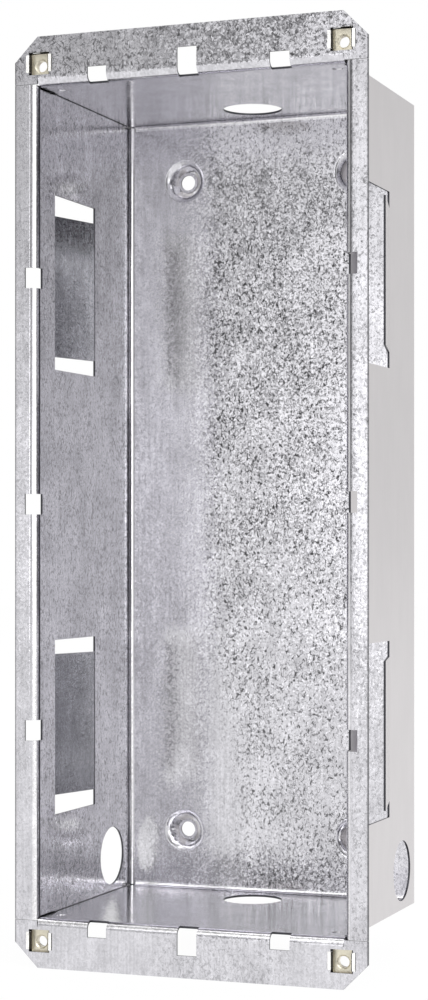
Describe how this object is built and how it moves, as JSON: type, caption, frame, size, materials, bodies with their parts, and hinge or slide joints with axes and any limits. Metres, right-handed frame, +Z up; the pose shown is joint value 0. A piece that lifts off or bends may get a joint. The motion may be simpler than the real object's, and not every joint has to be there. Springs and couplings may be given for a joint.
{
  "type": "flush back box",
  "caption": "Open galvanised steel back box for a flush-mounted wall panel, with front flanges, round cable holes, fixing lugs in the side walls and cage nuts in the corner ears.",
  "frame": {"origin": "middle of the four wall screw holes, on the plane where the dimples touch the wall behind the box", "axes": "+X to the right of someone facing the open front, +Y into the wall, +Z up the long side; the open front faces -Y"},
  "size_m": [0.137, 0.0944, 0.345],
  "materials": {
    "galvanised_steel": "hot-dip galvanised with fine spangle",
    "spring_steel": "zinc plated, slightly yellow",
    "zinc_nut": "zinc plated, slightly yellow"
  },
  "bodies": {
    "root": {"box_body": "galvanised_steel", "nut_cages": "spring_steel", "square_nuts": "zinc_nut"}
  },
  "joints": []
}
